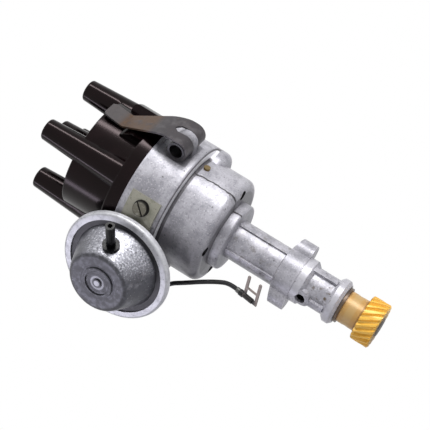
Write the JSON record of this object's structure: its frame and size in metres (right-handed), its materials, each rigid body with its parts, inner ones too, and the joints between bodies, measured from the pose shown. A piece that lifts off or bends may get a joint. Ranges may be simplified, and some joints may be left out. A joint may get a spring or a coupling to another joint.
{
  "type": "ignition distributor",
  "caption": "Contact-breaker ignition distributor with a skew drive gear, spring-clipped towered cap, side vacuum capsule and short lead with a fork terminal.",
  "frame": {"origin": "on the shaft's axis, in the plane of the clamp flange's seat", "axes": "+Z along the shaft from the drive gear to the cap, +X along the clamp flange's ears, on the side away from the vacuum unit; -Y is the side that carries the unit's dome and the front clip"},
  "size_m": [0.1201, 0.1066, 0.2217],
  "materials": {
    "cast_aluminium": "satin, sand-blasted casting",
    "bronze": "satin",
    "gear_bronze": "oiled, worn",
    "steel": "ground",
    "plated_plate": "yellowish passivated",
    "clip_steel": "dark, lightly rusted",
    "unit_steel": "dull zinc",
    "cap_plastic": "glossy phenolic",
    "brass": "bright",
    "carbon": "matt",
    "black_plastic": "matt",
    "fibre": "matt",
    "rubber": "matt",
    "felt": "soft"
  },
  "bodies": {
    "body": {"housing": "cast_aluminium", "shaft_bush_upper": "bronze", "shaft_bush_lower": "bronze", "base_plate_screws": "steel", "clip_pivots": "steel", "vacuum_spring": "steel", "bracket_screw": "steel", "brush_spring": "steel", "breaker_base_plate": "plated_plate", "vacuum_back_shell": "unit_steel", "vacuum_front_shell": "unit_steel", "vacuum_crimp_ring": "unit_steel", "vacuum_bracket": "unit_steel", "distributor_cap": "cap_plastic", "cap_terminals": "brass", "brass_plug": "brass", "lead_crimp": "brass", "fork_terminal": "brass", "carbon_brush": "carbon", "vacuum_nipple": "black_plastic", "vacuum_diaphragm": "rubber", "lead_grommet": "rubber", "lt_lead": "rubber", "lead_sleeve": "rubber"},
    "shaft": {"drive_shaft": "steel", "drive_gear": "gear_bronze", "gear_pin": "steel", "thrust_washer": "steel", "governor_washer": "steel", "governor_plate": "steel", "weight_pins": "steel", "governor_springs": "steel", "cam_screw": "steel"},
    "cam": {"breaker_cam": "steel", "felt_wick": "felt", "rotor_arm": "cap_plastic", "rotor_blade": "brass"},
    "weight_a": {"governor_weight_a": "steel"},
    "weight_b": {"governor_weight_b": "steel"},
    "advance_plate": {"breaker_plate": "plated_plate", "link_post": "steel", "contact_post": "steel", "fixed_contact": "plated_plate", "contact_lock_screw": "steel", "condenser": "steel"},
    "points_arm": {"contact_arm": "plated_plate", "rubbing_block": "fibre"},
    "vacuum_link": {"vacuum_rod": "steel", "diaphragm_plates": "steel"},
    "front_clip": {"clip_front": "clip_steel"},
    "rear_clip": {"clip_rear": "clip_steel"}
  },
  "joints": [
    {"name": "shaft_spin", "type": "hinge", "parent": "body", "child": "shaft", "pos_m": [0, 0, 0], "axis": [0, 0, 1], "continuous": true},
    {"name": "centrifugal_advance", "type": "hinge", "parent": "shaft", "child": "cam", "pos_m": [0, 0, 0.0643], "axis": [0, 0, -1], "range_deg": [0, 10.5], "stiffness_Nm_per_rad": 0.05, "deforming": ["governor_springs"]},
    {"name": "weight_a_swing", "type": "hinge", "parent": "shaft", "child": "weight_a", "pos_m": [0.0176, 0, 0.06], "axis": [0, 0, -1], "range_deg": [0, 12.1]},
    {"name": "weight_b_swing", "type": "hinge", "parent": "shaft", "child": "weight_b", "pos_m": [-0.0176, 0, 0.06], "axis": [0, 0, -1], "range_deg": [0, 12.1]},
    {"name": "vacuum_advance", "type": "hinge", "parent": "body", "child": "advance_plate", "pos_m": [0, 0, 0.0844], "axis": [0, 0, 1], "range_deg": [0, 8], "stiffness_Nm_per_rad": 0.97},
    {"name": "rod_slide", "type": "slide", "parent": "body", "child": "vacuum_link", "axis": [-0.6225, -0.7826, 0], "range_m": [0, 0.0036], "deforming": ["vacuum_spring", "vacuum_diaphragm"]},
    {"name": "points_arm_pivot", "type": "hinge", "parent": "advance_plate", "child": "points_arm", "pos_m": [0.02295, 0.00347, 0.0912], "axis": [0, 0, 1], "range_deg": [0, 6], "stiffness_Nm_per_rad": 0.1},
    {"name": "front_clip_pivot", "type": "hinge", "parent": "body", "child": "front_clip", "pos_m": [0.0321, -0.0321, 0.091], "axis": [0.7071, 0.7071, 0], "range_deg": [0, 105]},
    {"name": "rear_clip_pivot", "type": "hinge", "parent": "body", "child": "rear_clip", "pos_m": [-0.0321, 0.0321, 0.091], "axis": [-0.7071, -0.7071, 0], "range_deg": [0, 105]}
  ],
  "couplings": [
    {"joint": "weight_a_swing", "follows": "centrifugal_advance", "ratio": 1.1429},
    {"joint": "weight_b_swing", "follows": "centrifugal_advance", "ratio": 1.1429},
    {"joint": "rod_slide", "follows": "vacuum_advance", "m_per_rad": 0.02544}
  ]
}
